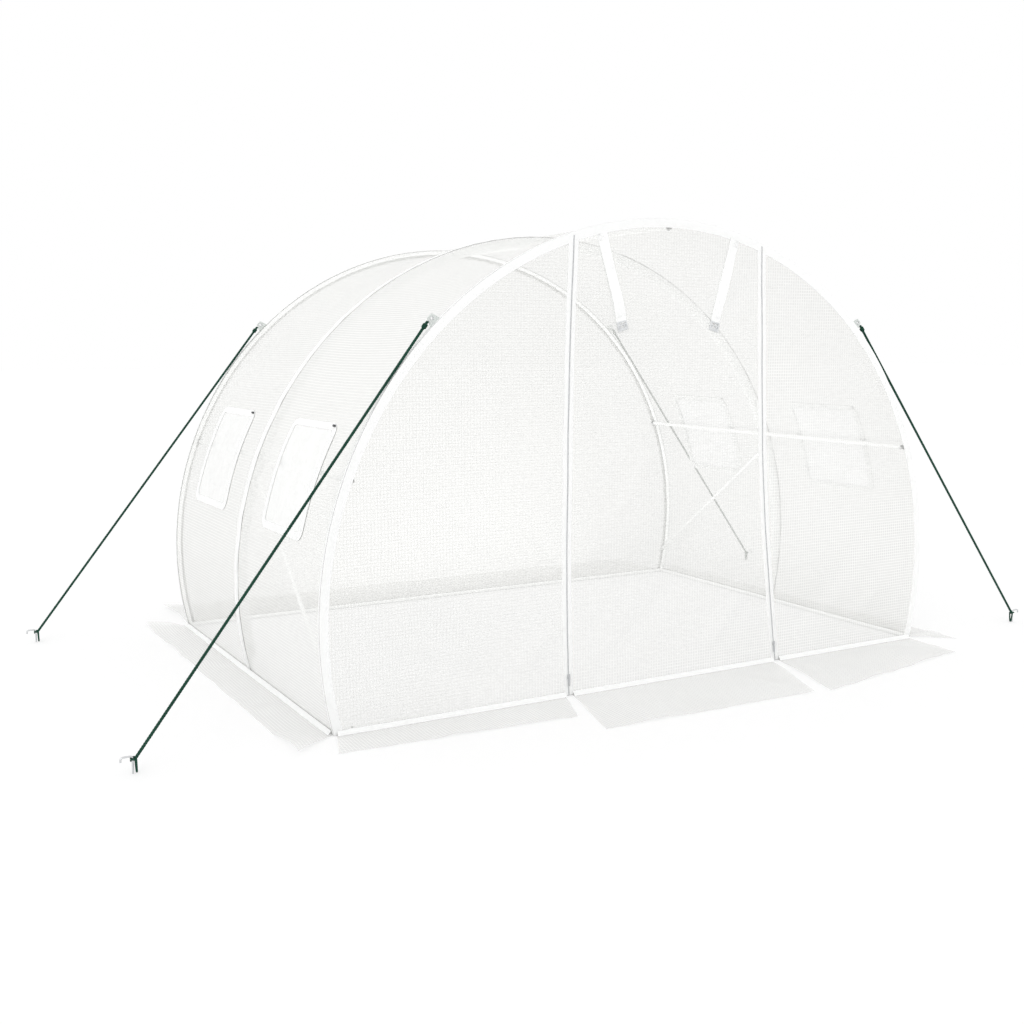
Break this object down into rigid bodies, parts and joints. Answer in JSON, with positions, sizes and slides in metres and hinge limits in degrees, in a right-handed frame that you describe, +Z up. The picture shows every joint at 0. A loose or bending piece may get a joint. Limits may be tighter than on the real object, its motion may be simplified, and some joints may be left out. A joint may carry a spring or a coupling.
{
  "type": "polytunnel greenhouse",
  "caption": "Walk-in polytunnel greenhouse: round tube hoops on a ground frame, wrapped in translucent film with flap windows, a zipped door and guy ropes.",
  "frame": {"origin": "on the ground, at the middle of the whole part's box", "axes": "+X to the right along the door end, +Y from the door end to the back, +Z up"},
  "size_m": [4.5762, 3.0006, 1.9488],
  "materials": {
    "tube": "white powder-coated steel tube",
    "fitting": "white powder-coated steel fitting",
    "film": "translucent reinforced film with a fine square scrim",
    "window_film": "milky smooth film",
    "seam_band": "white reinforcing band",
    "zip": "white zip tape with dark teeth",
    "strap": "white webbing",
    "buckle": "dark grey moulded plastic",
    "rope": "dark green braided rope",
    "tab": "grey webbing tab",
    "peg": "bright zinc plated rod"
  },
  "bodies": {
    "root": {"back_base_rail": "tube", "back_hoop": "tube", "back_roof_cover": "film", "back_skirt": "film", "back_wall": "film", "door_panel": "film", "door_skirt": "film", "foot_connectors": "fitting", "front_base_rail": "tube", "front_hoop": "tube", "front_left_skirt": "film", "front_right_skirt": "film", "front_roof_cover": "film", "front_wall_left": "film", "front_wall_right": "film", "ground_pegs": "peg", "left_back_cover": "film", "left_back_guy_rope": "rope", "left_back_window_flap": "window_film", "left_base_rails": "tube", "left_door_strap": "strap", "left_door_zip": "zip", "left_front_cover": "film", "left_front_guy_rope": "rope", "left_front_window_flap": "window_film", "left_purlin": "tube", "left_skirt": "film", "left_wall_brace": "tube", "middle_hoop": "tube", "middle_seam_band": "seam_band", "ridge_purlin": "tube", "right_back_cover": "film", "right_back_guy_rope": "rope", "right_back_window_flap": "window_film", "right_base_rails": "tube", "right_door_strap": "strap", "right_door_zip": "zip", "right_front_cover": "film", "right_front_guy_rope": "rope", "right_front_window_flap": "window_film", "right_purlin": "tube", "right_skirt": "film", "right_wall_brace": "tube", "rope_tabs": "tab", "strap_buckles": "buckle"}
  },
  "joints": []
}
